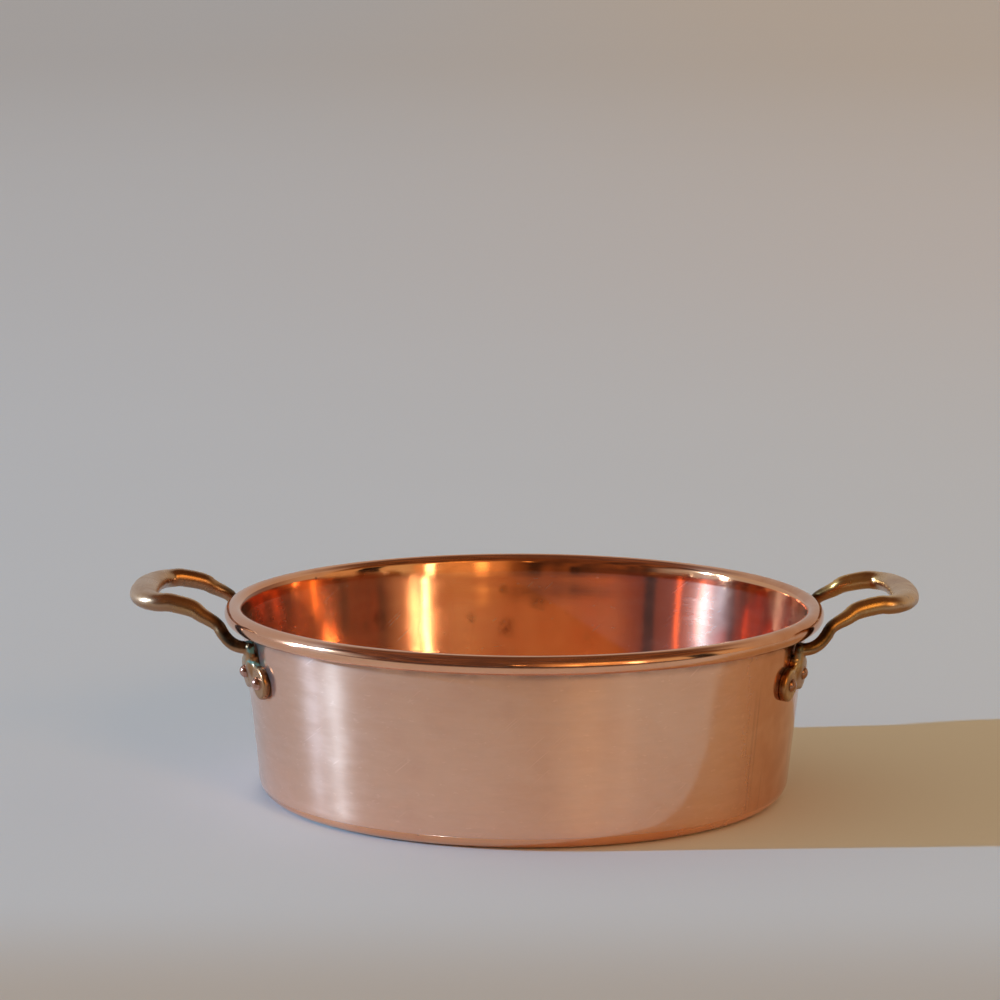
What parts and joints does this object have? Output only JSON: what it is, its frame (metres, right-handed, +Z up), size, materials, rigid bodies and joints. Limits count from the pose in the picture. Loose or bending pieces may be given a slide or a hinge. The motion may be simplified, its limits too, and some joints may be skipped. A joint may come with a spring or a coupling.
{
  "type": "preserving pan",
  "caption": "Wide round copper preserving pan with a wired rim, a flat base and two riveted brass loop handles.",
  "frame": {"origin": "middle of the base, on the table", "axes": "+Z up, +X towards the right handle, +Y away from the viewer"},
  "size_m": [0.4994, 0.38, 0.135],
  "materials": {
    "copper": "polished",
    "handle_brass": "polished and worn",
    "rivet_copper": "polished and worn",
    "wire": "drawn"
  },
  "bodies": {
    "root": {"pan_body": "copper", "rim_wire": "wire", "left_handle": "handle_brass", "right_handle": "handle_brass", "left_rivet_1": "rivet_copper", "left_rivet_2": "rivet_copper", "left_rivet_3": "rivet_copper", "left_rivet_4": "rivet_copper", "right_rivet_1": "rivet_copper", "right_rivet_2": "rivet_copper", "right_rivet_3": "rivet_copper", "right_rivet_4": "rivet_copper"}
  },
  "joints": []
}
